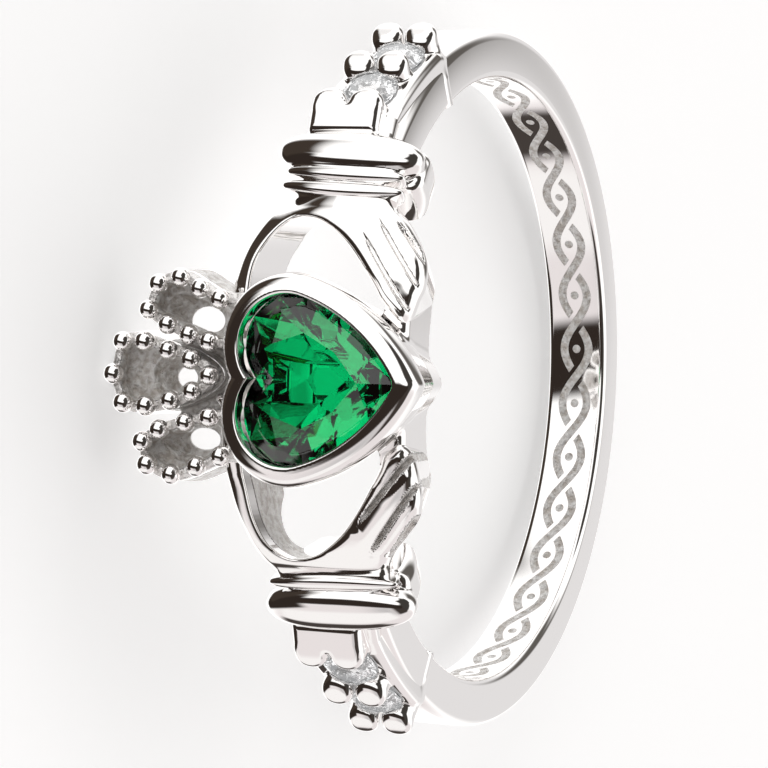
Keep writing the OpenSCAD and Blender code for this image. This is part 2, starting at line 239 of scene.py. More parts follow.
def add_object(name, points, faces):
    """A mesh object in the scene from ring coordinates in millimetres"""
    mesh = bpy.data.meshes.new(name)
    mesh.from_pydata(laid(np.asarray(points, float)), [], [tuple(int(i) for i in f) for f in faces])
    mesh.validate()
    obj = bpy.data.objects.new(name, mesh)
    bpy.context.scene.collection.objects.link(obj)
    return obj


def add_skin(name, made, rough=None):
    """A polished surface with true normals, and a mask of its rough cast places"""
    _, q, normals, faces = made
    obj = add_object(name, q, faces)
    mesh = obj.data
    mesh.shade_smooth()
    if len(mesh.vertices) == len(q):
        n = normals[:, 0:1] * ACROSS + normals[:, 1:2] * ALONG + normals[:, 2:3] * OUT
        mesh.normals_split_custom_set_from_vertices(n.tolist())
    mask = mesh.attributes.new("rough_cast", "FLOAT", "POINT")
    mask.data.foreach_set("value", (np.zeros(len(q)) if rough is None else rough).astype(np.float32))
    return obj


def claim(obj, nodes, material=None):
    """Puts an object on the root body in place of the named CAD parts, which it hides, with the given material if any
    """
    if material is not None:
        obj.data.materials.clear()
        obj.data.materials.append(material)
    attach(obj, "root")
    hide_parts(*nodes)


# -------- heart outline
# Width, length, radii of the lobes and of the flanks, and its middle along the finger
HEART_W, HEART_L, LOBE_R, FLANK_R, HEART_OFF = 4.4, 4.37, 1.32, 4.6, 0.67
# Height of the bezel's rim and of the stone's girdle
RIM_N = TOP_R + 1.02
GIRDLE_N = RIM_N - 0.48
LOBE_C = np.array((HEART_W / 2 - LOBE_R, HEART_OFF - HEART_L / 2 + LOBE_R))
# Rounding of the stone's point, and softening of the bezel's ridge there
TIP_R = 0.14
TIP_SOFT = 0.12
TIP_A = HEART_OFF + HEART_L / 2 - TIP_R


def flank_middle():
    """The middle of the circle that runs from a lobe to the rounded point"""
    gap = math.hypot(LOBE_C[0], TIP_A - LOBE_C[1])
    to_lobe, to_tip = FLANK_R - LOBE_R, FLANK_R - TIP_R
    along = (gap * gap + to_lobe ** 2 - to_tip ** 2) / (2 * gap)
    side = math.sqrt(to_lobe ** 2 - along ** 2)
    d = np.array((-LOBE_C[0], TIP_A - LOBE_C[1])) / gap
    return LOBE_C + along * d + side * np.array((-d[1], d[0]))


FLANK_C = flank_middle()
HEART_C = np.array((0.0, LOBE_C[1] + 0.3 * LOBE_R))


def heart_distance(x, a):
    """Distance outside the heart stone's girdle, with a crisp point"""
    side = np.where(a > HEART_C[1], np.sqrt(x * x + (TIP_SOFT * ease(a, HEART_C[1], 2.0)) ** 2), np.abs(x))
    meet = (LOBE_C - FLANK_C) / np.linalg.norm(LOBE_C - FLANK_C)
    on_flank = meet[0] * (a - LOBE_C[1]) - meet[1] * (side - LOBE_C[0]) > 0
    flank = np.hypot(side - FLANK_C[0], a - FLANK_C[1]) - FLANK_R
    lobe = np.hypot(side - LOBE_C[0], a - LOBE_C[1]) - LOBE_R
    return np.where(on_flank & (a > FLANK_C[1] - 3), flank, lobe)


def round_points(middle, radius, angles):
    """Points on a circle"""
    return middle + radius * np.stack((np.cos(angles), np.sin(angles)), 1)


def heart_points(count):
    """Points round the girdle, from the notch over the +X lobe to the point and back"""
    start = math.acos(LOBE_C[0] / LOBE_R) - math.pi
    meet = math.atan2(LOBE_C[1] - FLANK_C[1], LOBE_C[0] - FLANK_C[0])
    end = math.atan2(math.sqrt((FLANK_R - TIP_R) ** 2 - FLANK_C[0] ** 2), -FLANK_C[0])
    lobe = round_points(LOBE_C, LOBE_R, np.linspace(start, meet, 60))
    flank = round_points(FLANK_C, FLANK_R, np.linspace(meet, end, 60)[1:])
    half = np.concatenate((lobe, flank, [(0.0, TIP_A + TIP_R)]))
    run = np.concatenate(([0], np.cumsum(np.linalg.norm(np.diff(half, axis=0), axis=1))))
    at = np.linspace(0, run[-1], count // 2 + 1)
    half = np.stack([np.interp(at, run, half[:, k]) for k in (0, 1)], 1)
    back = half[-2:0:-1] * (-1, 1)
    return np.concatenate((half, back))


# -------- shapes of the pieces
# One hand lies towards -X and the other towards +X. Arc from the heart's middle, place along the finger.
HAND_OUTLINE = {
    -1: [(7.0, -1.45), (6.1, -1.45), (5.6, -1.5), (5.15, -1.68), (4.69, -2.08), (3.96, -2.45), (3.39, -2.64),
         (2.89, -2.74), (2.4, -2.82), (1.8, -2.84), (1.0, -2.75), (0.4, -2.5), (0.4, 2.2), (1.01, 2.67), (1.53, 2.68),
         (1.93, 2.84), (2.32, 2.95), (2.72, 3.07), (3.26, 3.05), (3.8, 2.84), (4.41, 2.44), (4.92, 2.0), (5.4, 1.75),
         (6.1, 1.65), (7.0, 1.65)],
    1: [(7.0, -1.45), (6.3, -1.45), (5.73, -1.62), (5.03, -1.95), (4.3, -2.2), (3.6, -2.4), (2.99, -2.52),
        (2.4, -2.64), (1.8, -2.7), (1.0, -2.7), (0.4, -2.5), (0.4, 2.2), (1.01, 2.7), (1.53, 2.75), (2.1, 3.0),
        (2.65, 3.11), (3.2, 3.14), (3.75, 3.0), (4.3, 2.6), (4.8, 2.2), (5.3, 1.95), (6.1, 1.85), (7.0, 1.85)],
}
# The opening between thumb and fingers, across and along: its walls run straight down
OPENING = {
    -1: [(1.2, -1.9), (2.2, -2.0), (3.02, -1.97), (3.56, -1.73), (3.99, -1.36), (4.23, -0.98), (4.27, -0.62),
         (4.19, -0.22), (3.94, 0.22), (3.54, 0.7), (2.95, 1.22), (2.52, 1.57), (2.14, 1.82), (1.81, 2.12),
         (1.45, 2.41), (1.0, 2.5), (0.6, 1.6), (0.6, -1.2)],
    1: [(1.2, -1.9), (2.2, -2.0), (2.98, -1.9), (3.77, -1.78), (4.37, -1.53), (4.7, -1.12), (4.76, -0.63),
        (4.56, 0.0), (4.03, 0.66), (3.39, 1.17), (2.79, 1.57), (2.24, 1.9), (1.84, 2.05), (1.45, 2.45), (1.0, 2.5),
        (0.6, 1.6), (0.6, -1.2)],
}
# Grooves between the fingers: from the hand to the fingertips, half width, depth
GROOVES = {
    -1: [((3.98, 1.1), (1.8, 2.72), 0.05, 0.12), ((4.42, 1.44), (2.55, 2.86), 0.05, 0.12),
         ((4.48, 1.91), (3.15, 3.05), 0.06, 0.18)],
    1: [((3.86, 1.24), (1.72, 3.02), 0.075, 0.32), ((4.62, 1.52), (2.75, 2.92), 0.075, 0.32),
        ((4.86, 1.96), (3.62, 2.86), 0.055, 0.28)],
}
# The hands' top: arc, height as a share of the head's
HAND_TOP = ((0.0, 0.96), (1.5, 0.97), (2.0, 0.98), (2.5, 0.99), (3.0, 1.0), (4.4, 1.0), (4.8, 0.98), (5.15, 0.95),
            (5.6, 0.9), (7.0, 0.86))
# How far the hands' tops fall towards the thumb's edge and the fingers' edge, and how far in that starts
DOME = {-1: (0.1, 0.3), 1: (0.08, 0.2)}
DOME_REACH = 0.46
# The upper hand's thumb slopes down as well, from this far inside its edge
THUMB_SLOPE = 0.36
THUMB_SLOPE_FROM = 1.15
# How far the flanks of the thumb and of the fingers lean out over the hands' depth
THUMB_LEAN = -0.3
FINGER_LEAN = 0.65
# Where along the finger the thumb's side turns into the fingers' side, for the lean and for the fall of the top
LEAN_TURN = (-0.8, 1.2)
DOME_TURN = (-0.9, 0.7)
# Rounding of the hands' edges, then of the opening's edge at the thumb, and what the fingers' side adds to it
HAND_ROUND = 0.34
OPENING_ROUND = {-1: (0.14, 0.18), 1: (0.14, 0.26)}
# How far the top sinks beside a groove, and how wide
GROOVE_DIP = {-1: 0.03, 1: 0.06}
GROOVE_DIP_WIDTH = 0.2
# How unpolished the lower hand's grooves and the walls of its opening are, and how far below the top that starts
HAND_CAST = 0.65
GROOVE_CAST_DEPTH = 0.12
WALL_CAST_DEPTH = 0.55
# Cuffs and ridges: arc, thickness, their two ends along the finger, top above the hands, bow towards the hand
BARS = {
    -1: [(6.5, 1.36, -2.04, 2.18, 0.26, 0.05), (5.82, 0.5, -1.6, 1.86, 0.06, 0.06),
         (5.4, 0.5, -1.66, 1.9, 0.0, 0.1)],
    1: [(6.6, 1.46, -2.02, 2.38, 0.26, 0.05), (5.78, 0.46, -1.75, 2.05, 0.0, 0.08)],
}
# How far a bar rounds off above its middle, as a share of its thickness and at most, and below it
BAR_TALL = 0.62
BAR_LOW = 0.9
# How much a bar slants, and the powers of its full shape: along it, across it and over all
BAR_SLANT = 0.05
BAR_POWERS = (2.5, 2.2, 2.3)
# The wrist under the cuff: arc from and to, its reach to the thumb's side and to the fingers' side, top, and how
# much wider its thumb's side gets towards the shoulder, from which arc
WRIST = (5.62, 7.1, 1.55, 2.12)
WRIST_TOP = 10.25
WRIST_FLARE = 0.22
WRIST_FLARE_FROM = 5.5
# Below this radius the wrist draws in, by this much at the finger hole
WRIST_WAIST = 10.0
WRIST_DRAWN_IN = 0.42
# The wall that joins the fingertips to the heart's point: along the finger from and to, half width, top
TIP_WALL_A = (1.75, 2.46)
TIP_WALL_HALF = 2.4
TIP_WALL_TOP = 10.22
# The crown's beads, to the left and along the finger
MIDDLE_LOBE = [(-0.05, -5.73), (0.82, -5.49), (0.84, -4.82), (0.63, -4.12), (0.42, -3.43), (0.01, -2.88),
               (-0.43, -3.37), (-0.69, -4.01), (-0.86, -4.73), (-0.81, -5.42)]
UPPER_LOBE = [(0.91, -2.91), (1.07, -3.51), (1.32, -4.15), (1.69, -4.73), (2.39, -4.46), (2.57, -3.81),
              (2.3, -3.23), (2.03, -2.63)]
LOWER_LOBE = [(-1.09, -2.84), (-1.26, -3.54), (-1.48, -4.31), (-1.82, -4.81), (-2.42, -4.64), (-2.65, -3.91),
              (-2.4, -3.17), (-2.1, -2.47)]
# Lobes of the crown: beads, the piercing's middle and half sizes across and along, points under the bezel
LOBES = (
    (MIDDLE_LOBE, (0.1, -4.05, 0.3, 0.34), []),
    (UPPER_LOBE, (-1.45, -3.52, 0.37, 0.5), [(2.0, -1.6), (1.0, -1.6)]),
    (LOWER_LOBE, (1.72, -3.5, 0.3, 0.46), [(-2.0, -1.6), (-1.0, -1.6)]),
)
CROWN_FOOT = [(-2.1, -1.5), (-1.75, -3.5), (-1.15, -4.3), (-0.5, -3.9), (0.5, -3.9), (1.1, -4.2), (1.8, -3.5),
              (2.1, -1.5)]
CROWN_FOOT_TOP = 9.75
CROWN_FOOT_SLOPE = 0.2
# Half thickness of the lobes' walls, and their top
LOBE_WALL = 0.17
LOBE_TOP = 10.72
# The lobes' hollows: height round the piercings, slope out from them and height at most. The piercings: top, and
# how much they lean below the hollows
CUP_N = 9.7
CUP_SLOPE = 0.55
CUP_RIM_N = 10.35
PIERCED_TO = 10.2
PIERCED_LEAN = 0.45
# The crown's underside: height at the bezel, where that is along the finger, rise and run from there to the tip
CROWN_LOW = (8.93, -1.515, 0.6, 4.4)
BEAD_N = TOP_R - 0.069
# Shoulders: arc from and to, then tables of arcs and half widths, middles and heights above the band
SHOULDER_ARC = (6.3, 12.05)
SHOULDER_HALF = ((6.4, 12.0), (1.35, 1.1))
SHOULDER_MIDDLE = ((6.4, 8.2, 11.6, 12.2), (-0.35, -0.45, -0.1, -0.1))
SHOULDER_RISE = ((6.4, 7.6, 8.6, 11.4, 12.1), (0.45, 0.36, 0.42, 0.36, 0.1))
# At the finger hole they are narrower, by this share
SHOULDER_WAIST = 0.8
# Round stones: arc, place along the finger
STONE_ARCS = ((9.1, -0.3), (10.76, -0.1))
# Prongs: arc, place along the finger, half their spacing, radius, how far they run to the cuff
PRONGS = ((8.22, -0.5, 0.53, 0.5, 0.9), (9.96, -0.3, 0.5, 0.46, 0.0), (11.62, -0.1, 0.5, 0.46, 0.0))
PRONG_TOP = BAND_R + 1.06
# Half width of the plate that joins the first prongs to the cuff
PLATE_HALF = 1.02
# The round stones' girdle, then their seats: play, how much they close in over the girdle, depth and half width
# at the foot
ROUND_R = 0.81
ROUND_N = BAND_R + 0.45
SEAT_PLAY = 0.02
SEAT_CLOSE = 1.25
SEAT_DEPTH = 0.75
SEAT_FOOT = 0.15


def on_side(p, side):
    """Arc, along, radius, with the arc counted away from the heart on both sides"""
    return side * p[:, 0], p[:, 1], p[:, 2]


def hand_field(side):
    """A domed hand with an opening and grooves, and the mask of its unpolished places, from arc, along, radius"""
    rim = Outline(smooth_loop(HAND_OUTLINE[side]))
    hole = Outline(smooth_loop(OPENING[side]))
    tops = smooth_loop(HAND_TOP, closed=False, steps=8)

    def slots(s, a):
        """Distance past the nearest groove's side, that groove's depth, distance from the nearest groove's middle"""
        best, depth, near = np.full(len(s), 9.0), np.zeros(len(s)), np.full(len(s), 9.0)
        for a0, a1, half, deep in GROOVES[side]:
            e = np.subtract(a1, a0)
            t = ((s - a0[0]) * e[0] + (a - a0[1]) * e[1]) / (e @ e)
            end = ease(t, 0.0, 0.25) * (1 - 0.6 * ease(t, 0.8, 1.0))
            d = near_line(s, a, a0, a1)
            past = d - half * (0.35 + 0.65 * end)
            closer = past < best
            best = np.where(closer, past, best)
            depth = np.where(closer, deep * end, depth)
            near = np.minimum(near, d)
        return best, depth, near

    def plain_top(s):
        return BORE_R + np.interp(s, tops[:, 0], tops[:, 1]) * HEAD_H

    def field(p):
        s, a, r = on_side(p, side)
        deep = np.clip((TOP_R - r) / HEAD_H, 0, 1.3)
        lean = THUMB_LEAN + (FINGER_LEAN - THUMB_LEAN) * ease(a, *LEAN_TURN)
        edge = rim(s, a + lean * deep)
        slot, cut, near = slots(s, a)
        top = plain_top(s) - GROOVE_DIP[side] * np.exp(-(near / GROOVE_DIP_WIDTH) ** 2)
        thumb = 1 - ease(a, *DOME_TURN)
        dome = DOME[side][0] * thumb + DOME[side][1] * (1 - thumb)
        top = top - dome * np.exp(np.minimum(edge, 0) / DOME_REACH)
        if side < 0:
            top = top - THUMB_SLOPE * thumb * ramp(edge + THUMB_SLOPE_FROM, 0.18)
        body = both(edge, r - top, HAND_ROUND)
        over = r * np.sin(s / TOP_R)
        at_thumb, more = OPENING_ROUND[side]
        body = both(body, -hole(over, a), at_thumb + more * ease(a - 0.35 * over, -2.2, 0.2))
        body = both(body, -np.maximum(slot, top - cut - r), 0.03)
        return np.maximum(body, BORE_R + BORE_CLEAR - r)

    def rough(p):
        s, a, r = on_side(p, side)
        slot, _, _ = slots(s, a)
        floor = (slot < 0.03) & (r < plain_top(s) - GROOVE_CAST_DEPTH)
        wall = (hole(r * np.sin(s / TOP_R), a) < 0.05) & (r < TOP_R - WALL_CAST_DEPTH)
        return HAND_CAST * ((floor | wall) & (side > 0))

    return field, rough


def cuff_field(side):
    """Barrels along the finger, thick in the middle and rounded off to both ends, on a smooth wrist"""

    def field(p):
        s, a, r = on_side(p, side)
        from_s, to_s, thumb, fingers = WRIST
        middle = (BARS[side][0][2] + BARS[side][0][3]) / 2
        drawn_in = WRIST_DRAWN_IN * np.clip((WRIST_WAIST - r) / (WRIST_WAIST - BORE_R), 0, 1.2) ** 2
        thumb = thumb + middle + WRIST_FLARE * (s - WRIST_FLARE_FROM)
        reach = np.where(a < middle, thumb, fingers - middle) - drawn_in
        wide = np.abs(a - middle) - reach
        whole = both(wide, np.abs(s - (from_s + to_s) / 2) - (to_s - from_s) / 2, 0.45)
        whole = both(whole, r - WRIST_TOP, 0.22)
        for at, thick, from_a, to_a, rise, bow in BARS[side]:
            high = TOP_R + rise
            tall = BAR_TALL * min(1, thick)
            half = (to_a - from_a) / 2
            u = (a - (from_a + to_a) / 2) / half
            across = (s - at + BAR_SLANT * (a - middle) + bow * (1 - np.minimum(u * u, 1))) / (thick / 2)
            up = np.maximum(r - (high - tall), 0) / tall
            down = np.maximum(high - tall - r, 0) / BAR_LOW
            full, flat, over_all = BAR_POWERS
            q = (np.abs(u) ** full + np.abs(across) ** flat + up ** flat + down ** flat) ** (1 / over_all)
            whole = either(whole, (q - 1) * thick / 2, 0.05)
        return np.maximum(whole, BORE_R + BORE_CLEAR - r)
    return field


def bezel_field():
    """The heart's bezel, with the wall that joins it to the fingertips"""
    # Distance outside the girdle, height: the rim is highest at the stone and falls a little outwards
    rim = [(0.6, 11.28), (0.595, 11.46), (0.555, 11.66), (0.46, 11.8), (0.34, 11.868), (0.2, 11.902),
           (0.1, 11.915), (0.045, 11.88), (0.03, 11.8)]
    outside = [(-0.3, 7.2), (0.02, 8.4), (0.2, 9.6), (0.44, 10.6)]
    inside = [(0.03, 11.4), (-0.28, 10.95), (-0.62, 10.1), (-0.75, 9.0), (-0.78, 7.2)]
    top = smooth_loop([(0.55, 11.05)] + rim, closed=False, steps=8)
    profile = Outline(np.concatenate((outside, top, inside)), pitch=0.015, margin=0.8)

    def field(p):
        d = heart_distance(p[:, 0], p[:, 1])
        r = np.hypot(p[:, 0], p[:, 2])
        wall = both(p[:, 1] - TIP_WALL_A[1] + 0.01 * p[:, 0] ** 2, r - TIP_WALL_TOP, 0.25)
        wall = both(wall, np.abs(p[:, 0]) - TIP_WALL_HALF, 0.3)
        wall = np.maximum.reduce([wall, TIP_WALL_A[0] - p[:, 1], -0.1 - d])
        return np.maximum(either(profile(d, p[:, 2]), wall, 0.12), BORE_R + BORE_CLEAR - r)
    return field


def crown_field():
    """The crown's hollow, pierced lobes on their foot, and the mask of its unpolished places"""
    lobes = [(Outline(smooth_loop([(-left, a) for left, a in beads + feet]), margin=0.6), hole)
             for beads, hole, feet in LOBES]
    foot = Outline(CROWN_FOOT, margin=0.6)

    def field(p):
        x, a, n = p.T
        whole = both(foot(x, a), n - CROWN_FOOT_TOP + CROWN_FOOT_SLOPE * (a + 3.0), 0.1)
        opened = np.full(len(x), 9.0)
        for line, (hole_x, hole_a, half_x, half_a) in lobes:
            d = line(x, a)
            # Below the hollows the piercings lean away from the heart
            leant = a - hole_a - PIERCED_LEAN * np.minimum(n - CUP_N, 0)
            out = np.hypot((x - hole_x) / half_x, leant / half_a) - 1
            opened = np.minimum(opened, np.maximum(out * min(half_x, half_a), n - PIERCED_TO))
            floor = np.minimum(CUP_N + CUP_SLOPE * np.maximum(out, 0), CUP_RIM_N)
            wall = both(np.abs(d) - LOBE_WALL - 0.06 * np.clip(10.7 - n, 0, 1), n - LOBE_TOP, 0.14)
            whole = either(whole, either(wall, np.maximum(d, n - floor), 0.07), 0.04)
        whole = both(whole, -opened, 0.05)
        low_n, low_a, rise, run = CROWN_LOW
        low = low_n + rise * (low_a - a) / run
        return np.maximum.reduce([whole, low + BORE_CLEAR - n, 0.25 - heart_distance(x, a)])

    def rough(q):
        """The hollows, part of the rims' tops and the foot between the lobes"""
        x, a, n = q.T
        d = np.min([line(x, a) for line, _ in lobes], axis=0)
        top = 0.4 * ease(n, 10.45, 10.62)
        between = (n < 10.3) & (a > -4.3) & (n > 9.3) & (d > 0.1)
        return np.maximum.reduce([(d < -0.1).astype(float), top, 0.7 * between])

    return field, rough


def shoulder_field(side):
    """The shoulder from arc, along, radius, with its prongs and the seats of its two stones"""
    def field(p):
        s, a, r = on_side(p, side)
        half, middle, rise = (np.interp(s, *table) for table in (SHOULDER_HALF, SHOULDER_MIDDLE, SHOULDER_RISE))
        half = half * np.interp(r, (BORE_R, BAND_R + 0.3), (SHOULDER_WAIST, 1.0))
        ends = np.maximum(s - SHOULDER_ARC[1], SHOULDER_ARC[0] - s)
        whole = both(both(np.abs(a - middle) - half, ends, 0.25), r - BAND_R - rise, 0.26)
        for at, between, spacing, radius, run in PRONGS:
            one, two = (np.hypot(a - (between + hand * spacing), (s - at) * 1.05) - radius for hand in (-1, 1))
            pair = either(one, two, 0.08)
            if run:
                plate = both(np.abs(a - between) - PLATE_HALF, np.maximum(s - at, at - run - s), 0.2)
                pair = either(pair, plate, 0.05)
            top = PRONG_TOP - 0.45 * ramp(at + 0.15 - s, 0.1)
            pair = both(pair - 0.12 * np.clip(top - 0.5 - r, 0, 1), r - top, 0.24)
            whole = either(whole, pair, 0.06)
        for at, along in STONE_ARCS:
            flat = np.hypot((s - at) * 0.96, a - along)
            seat_r = ROUND_R + SEAT_PLAY
            crown = flat - seat_r + SEAT_CLOSE * np.maximum(r - ROUND_N - 0.04, 0)
            cone = flat - np.interp(r, (ROUND_N - SEAT_DEPTH, ROUND_N), (SEAT_FOOT, seat_r))
            whole = both(whole, -np.where(r > ROUND_N, crown, cone), 0.03)
        return np.maximum(whole, BORE_R + 2 * BORE_CLEAR - r)
    return field


# -------- cut stones
def brilliant(ring, middle, mains, levels):
    """Facets of a brilliant cut. ring has two girdle points for each main facet. levels: the share of the girdle
    and height of the table, upper break and lower break, and heights of the girdle's edges and the culet."""
    table, upper, girdle_top, girdle_low, lower, culet = levels
    points, faces = [], []

    def row(share, height, offset, count):
        first = len(points)
        for i in range(count):
            k = (i * (2 * mains // count) + offset) % (2 * mains)
            p = middle + share * (ring[k] - middle)
            points.append((p[0], p[1], height))
        return [first + i for i in range(count)]

    t = row(*table, 0, mains)
    u = row(*upper, 1, mains)
    g = row(1.0, girdle_top, 0, 2 * mains)
    h = row(1.0, girdle_low, 0, 2 * mains)
    w = row(*lower, 1, mains)
    tip = len(points)
    points.append((middle[0], middle[1], culet))
    faces.append(t)
    for i in range(mains):
        a, b, c = 2 * i, 2 * i + 1, (2 * i + 2) % (2 * mains)
        j, k = (i + 1) % mains, (i - 1) % mains
        faces += [[t[j], t[i], u[i]], [t[i], u[k], g[a]], [t[i], g[a], u[i]], [u[i], g[a], g[b]], [u[i], g[b], g[c]],
                  [w[i], h[b], h[a]], [w[i], h[c], h[b]], [tip, w[i], h[a]], [tip, h[a], w[k]]]
    for i in range(2 * mains):
        j = (i + 1) % (2 * mains)
        faces.append([g[i], h[i], h[j], g[j]])
    return np.array(points), faces


def heart_cut(ring, middle):
    """A heart cut: a brilliant crown over a pavilion of two tiers that ends in a small flat culet"""
    mains = len(ring) // 2
    levels = ((0.58, GIRDLE_N + 0.45), (0.81, GIRDLE_N + 0.25), GIRDLE_N + 0.04, GIRDLE_N - 0.04,
              (0.62, GIRDLE_N - 0.72), 0.0)
    points, faces = brilliant(ring, middle, mains, levels)
    # The culet's point gives way to a flat one, and the lower tier to one that meets it
    tip, girdle, lower = 7 * mains, 4 * mains, 6 * mains
    corners = middle + 0.27 * (ring[::4] - middle)
    points = np.concatenate((points[:tip], np.column_stack((corners, np.full(len(corners), GIRDLE_N - 1.28)))))
    faces = [f for f in faces if tip not in f]
    faces += [[lower + i, girdle + 2 * i, lower + (i - 1) % mains] for i in range(mains)]
    flat = list(range(tip, len(points)))
    for k, (one, two) in enumerate(zip(flat, flat[1:] + flat[:1])):
        a, b, c = (lower + (2 * k + d) % mains for d in (-1, 0, 1))
        faces += [[one, b, a], [one, two, b], [two, c, b]]
    return points, faces + [flat[::-1]]


def add_stone(name, points, faces):
    """A faceted stone with its faces turned outwards"""
    obj = add_object(name, points, faces)
    bm = bmesh.new()
    bm.from_mesh(obj.data)
    bmesh.ops.recalc_face_normals(bm, faces=bm.faces)
    bm.to_mesh(obj.data)
    bm.free()
    return obj


# -------- geometry nodes
def fill(t, n, inputs):
    """Links or sets a node's inputs, by name or number"""
    for key, value in inputs.items():
        if isinstance(value, bpy.types.NodeSocket):
            t.links.new(value, n.inputs[key])
        else:
            n.inputs[key].default_value = value
    return n


def node(t, kind, inputs=None, **settings):
    """Adds a node with its settings and inputs to a tree"""
    n = t.nodes.new(kind)
    for key, value in settings.items():
        setattr(n, key, value)
    return fill(t, n, inputs or {})


def group(name, kind, inputs, outputs):
    """A node group, its inputs' sockets and its output node. inputs: values, or kinds as in outputs, by name"""
    t = bpy.data.node_groups.new(name, kind)
    for label, value in inputs.items():
        socket = {int: "Int", float: "Float"}.get(type(value), value)
        made = t.interface.new_socket(label, in_out="INPUT", socket_type="NodeSocket" + socket)
        if value is not socket:
            made.default_value = value
    for label, socket in outputs.items():
        t.interface.new_socket(label, in_out="OUTPUT", socket_type="NodeSocket" + socket)
    return t, node(t, "NodeGroupInput").outputs, node(t, "NodeGroupOutput")


def tree(name, inputs):
    """A geometry tree that takes a mesh and named inputs"""
    mesh = {"Geometry": "Geometry"}
    return group(name, "GeometryNodeTree", mesh | inputs, mesh)


def finish_tree(t, last, given, out):
    """Sends out the last node's geometry as one mesh of the given material"""
    real = node(t, "GeometryNodeRealizeInstances", {0: last})
    paint = node(t, "GeometryNodeSetMaterial", {"Geometry": real.outputs[0], "Material": given["Material"]})
    fill(t, out, {0: paint.outputs[0]})
    return t


def grow(name, seed_mesh, t, values):
    """Evaluates a tree on a mesh and returns the plain mesh object that it makes"""
    host = bpy.data.objects.new(name, seed_mesh)
    bpy.context.scene.collection.objects.link(host)
    mod = host.modifiers.new("Shape", "NODES")
    mod.node_group = t
    for item in t.interface.items_tree:
        if item.item_type == "SOCKET" and item.in_out == "INPUT" and item.name in values:
            mod[item.identifier] = values[item.name]
    host.update_tag()
    bpy.context.view_layer.update()
    done = bpy.data.meshes.new_from_object(host.evaluated_get(bpy.context.evaluated_depsgraph_get()))
    host.modifiers.remove(mod)
    host.data = done
    done.name = name
    if not len(done.polygons):
        raise RuntimeError(name + " has no faces")
    return host


def math_node(t, operation, a, b=None):
    """The result of one sum, of sockets or numbers"""
    inputs = {0: a} if b is None else {0: a, 1: b}
    return node(t, "ShaderNodeMath", inputs, operation=operation).outputs[0]


def sums(t):
    """What adds, takes away, multiplies and does any other sum in a tree"""
    return [partial(math_node, t, kind) for kind in ("ADD", "SUBTRACT", "MULTIPLY")] + [partial(math_node, t)]


def bead_tree():
    t, given, out = tree("Beads on points", {
        "Bead Radius": 0.00029, "Rings": 12, "Segments": 24, "Variation": 0.09, "Seed": 4, "Material": "Material"})
    ball = node(t, "GeometryNodeMeshUVSphere", {
        "Segments": given["Segments"], "Rings": given["Rings"], "Radius": given["Bead Radius"]})
    smooth = node(t, "GeometryNodeSetShadeSmooth", {"Geometry": ball.outputs["Mesh"]})
    least = math_node(t, "SUBTRACT", 1.0, given["Variation"])
    vary = node(t, "FunctionNodeRandomValue", {2: least, 3: 1.0, "Seed": given["Seed"]})
    put = node(t, "GeometryNodeInstanceOnPoints", {
        "Points": given["Geometry"], "Instance": smooth.outputs[0], "Scale": vary.outputs[1]})
    return finish_tree(t, put.outputs[0], given, out)


def band_tree():
    t, given, out = tree("Band round the finger", {
        "Start": 0.0, "Sweep": 1.0, "Radius": 0.0093, "Width": 0.00188, "Thickness": 0.00135,
        "Outer Rounding": 0.0003, "Inner Rounding": 0.0002, "Tilt": "Vector", "Steps": 300, "Material": "Material"})
    arc = node(t, "GeometryNodeCurveArc", {
        "Resolution": given["Steps"], "Radius": given["Radius"], "Start Angle": given["Start"],
        "Sweep Angle": given["Sweep"]}, mode="RADIUS")
    flat = node(t, "GeometryNodeCurvePrimitiveQuadrilateral", {"Width": given["Thickness"], "Height": given["Width"]})
    corner = node(t, "ShaderNodeSeparateXYZ", {0: node(t, "GeometryNodeInputPosition").outputs[0]})
    outer = node(t, "FunctionNodeCompare", {0: corner.outputs[0]})
    rounding = node(t, "GeometryNodeSwitch", {
        "Switch": outer.outputs[0], "False": given["Inner Rounding"], "True": given["Outer Rounding"]},
        input_type="FLOAT")
    fillet = node(t, "GeometryNodeFilletCurve", {
        "Count": 7, "Curve": flat.outputs[0], "Radius": rounding.outputs[0]}, mode="POLY")
    sweep = node(t, "GeometryNodeCurveToMesh", {
        "Fill Caps": True, "Curve": arc.outputs[0], "Profile Curve": fillet.outputs[0]})
    turn = node(t, "GeometryNodeTransform", {"Geometry": sweep.outputs[0], "Rotation": given["Tilt"]})
    smooth = node(t, "GeometryNodeSetShadeSmooth", {"Geometry": turn.outputs[0]})
    return finish_tree(t, smooth.outputs[0], given, out)


# -------- materials
SPECK_COLOUR = (0.62, 0.57, 0.52, 1)
# What unpolished silver adds to the roughness, and takes from the metal's shine
CAST_ROUGHNESS = 0.28
CAST_DULLNESS = 0.85
# The twist ends this far out from the finger's axis, towards the head, and shows this near the finger hole's wall
TWIST_END = 0.0052
TWIST_NEAR = 0.00006


def mix_colour(t, factor, a, b):
    return node(t, "ShaderNodeMix", {0: factor, 6: a, 7: b}, data_type="RGBA").outputs[2]


def noise(t, vector, scale, detail=2.0):
    return node(t, "ShaderNodeTexNoise", {"Scale": scale, "Detail": detail, "Vector": vector}).outputs["Fac"]


def dot_node(t, vector, direction):
    inputs = {0: vector, 1: tuple(direction)}
    return node(t, "ShaderNodeVectorMath", inputs, operation="DOT_PRODUCT").outputs["Value"]


